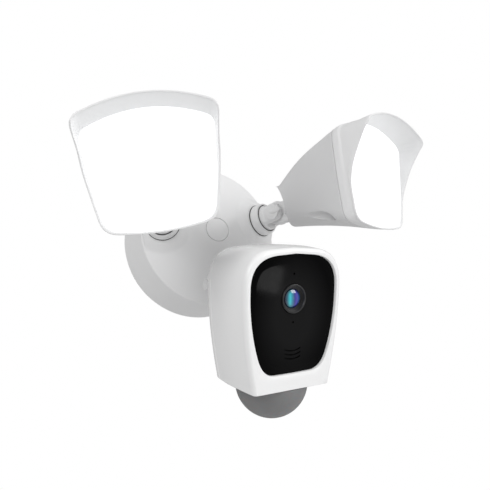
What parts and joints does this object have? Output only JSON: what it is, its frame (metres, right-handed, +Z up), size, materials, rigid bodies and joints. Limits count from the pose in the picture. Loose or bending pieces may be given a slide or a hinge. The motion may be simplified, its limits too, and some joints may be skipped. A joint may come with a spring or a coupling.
{
  "type": "floodlight security camera",
  "caption": "Wall-mounted camera on a round domed base, with hooded light heads on swivel arms above it and a motion sensor dome below.",
  "frame": {"origin": "centre of the base's back face, in the plane of the wall, at the centre of the strap's screw slots", "axes": "+Z up, -Y out of the wall towards the viewer (the front), +X to the right as seen from the front"},
  "size_m": [0.2732, 0.1967, 0.2165],
  "materials": {
    "white_plastic": "satin",
    "glowing_diffuser": "frosted, lit from behind",
    "black_gloss": "mirror gloss",
    "black_satin": "satin",
    "lens_glass": "coated, polished",
    "dome_gray": "satin, slightly translucent",
    "foam": "matte closed cell foam",
    "rubber": "matte",
    "zinc_steel": "zinc plated",
    "screw_steel": "plated",
    "heat_sink_metal": "extruded, matte",
    "circuit_board": "solder mask",
    "white_board": "white solder mask",
    "board_parts": "mixed component bodies",
    "ivory_plastic": "satin",
    "led_yellow": "clear resin",
    "reflector_white": "bright white",
    "soft_gray": "soft matte"
  },
  "bodies": {
    "base": {"wall_gasket": "foam", "mounting_strap": "zinc_steel", "base_housing": "white_plastic", "center_screw": "screw_steel", "center_cap": "white_plastic", "driver_board": "circuit_board", "driver_parts": "board_parts", "terminal_block": "ivory_plastic", "board_screws": "screw_steel", "arm_seals": "rubber", "camera_arm": "white_plastic", "camera_arm_screws": "screw_steel", "pan_pin": "screw_steel"},
    "left_collar": {"left_collar": "white_plastic"},
    "right_collar": {"right_collar": "white_plastic"},
    "left_arm": {"left_arm": "white_plastic", "left_arm_nut": "zinc_steel", "left_knuckle_bolt": "screw_steel", "left_knuckle_nut": "screw_steel"},
    "left_head": {"left_bracket": "white_plastic", "left_rear_shell": "white_plastic", "left_heat_sink": "heat_sink_metal", "left_led_board": "white_board", "left_leds": "led_yellow", "left_reflector": "reflector_white", "left_lens_gasket": "rubber", "left_diffuser": "glowing_diffuser", "left_bezel": "white_plastic", "left_shell_screws": "screw_steel"},
    "right_arm": {"right_arm": "white_plastic", "right_arm_nut": "zinc_steel", "right_knuckle_bolt": "screw_steel", "right_knuckle_nut": "screw_steel"},
    "right_head": {"right_bracket": "white_plastic", "right_rear_shell": "white_plastic", "right_heat_sink": "heat_sink_metal", "right_led_board": "white_board", "right_leds": "led_yellow", "right_reflector": "reflector_white", "right_lens_gasket": "rubber", "right_diffuser": "glowing_diffuser", "right_bezel": "white_plastic", "right_shell_screws": "screw_steel"},
    "camera_pan_block": {"pan_block": "white_plastic"},
    "reset_button": {"reset_button": "soft_gray"},
    "camera": {"camera_bracket": "white_plastic", "tilt_bolt": "white_plastic", "tilt_nut": "white_plastic", "rear_cover": "white_plastic", "cover_seal": "rubber", "cover_screws": "screw_steel", "front_housing": "white_plastic", "face_plate": "black_gloss", "lens_barrel": "black_satin", "lens_glass": "lens_glass", "main_board": "circuit_board", "speaker": "black_satin", "motion_dome": "dome_gray", "sensor_board": "circuit_board", "card_cover": "soft_gray"}
  },
  "joints": [
    {"name": "left_collar_turn", "type": "hinge", "parent": "base", "child": "left_collar", "pos_m": [-0.0434, -0.04674, 0.008], "axis": [-0.3665, -0.9304, 0], "range_deg": [-90, 90]},
    {"name": "left_swivel", "type": "hinge", "parent": "base", "child": "left_arm", "pos_m": [-0.0434, -0.04674, 0.008], "axis": [-0.3665, -0.9304, 0], "range_deg": [-60, 60]},
    {"name": "left_tilt", "type": "hinge", "parent": "left_arm", "child": "left_head", "pos_m": [-0.05256, -0.07, 0.008], "axis": [0.9304, -0.3665, 0], "range_deg": [-20, 20]},
    {"name": "right_collar_turn", "type": "hinge", "parent": "base", "child": "right_collar", "pos_m": [0.0434, -0.04674, 0.008], "axis": [0.3665, -0.9304, 0], "range_deg": [-90, 90]},
    {"name": "right_swivel", "type": "hinge", "parent": "base", "child": "right_arm", "pos_m": [0.0434, -0.04674, 0.008], "axis": [0.3665, -0.9304, 0], "range_deg": [-60, 60]},
    {"name": "right_tilt", "type": "hinge", "parent": "right_arm", "child": "right_head", "pos_m": [0.05256, -0.07, 0.008], "axis": [0.9304, 0.3665, 0], "range_deg": [-20, 20]},
    {"name": "camera_pan", "type": "hinge", "parent": "base", "child": "camera_pan_block", "pos_m": [0, -0.06431, -0.0489], "axis": [0, 0, 1], "range_deg": [-25, 25]},
    {"name": "camera_tilt", "type": "hinge", "parent": "camera_pan_block", "child": "camera", "pos_m": [0.00061, -0.07128, -0.0489], "axis": [0.9962, 0.0872, 0], "range_deg": [-20, 25]},
    {"name": "reset_press", "type": "slide", "parent": "camera", "child": "reset_button", "axis": [0.0816, -0.9325, -0.3518], "range_m": [0, 0.001], "stiffness_N_per_m": 400}
  ]
}
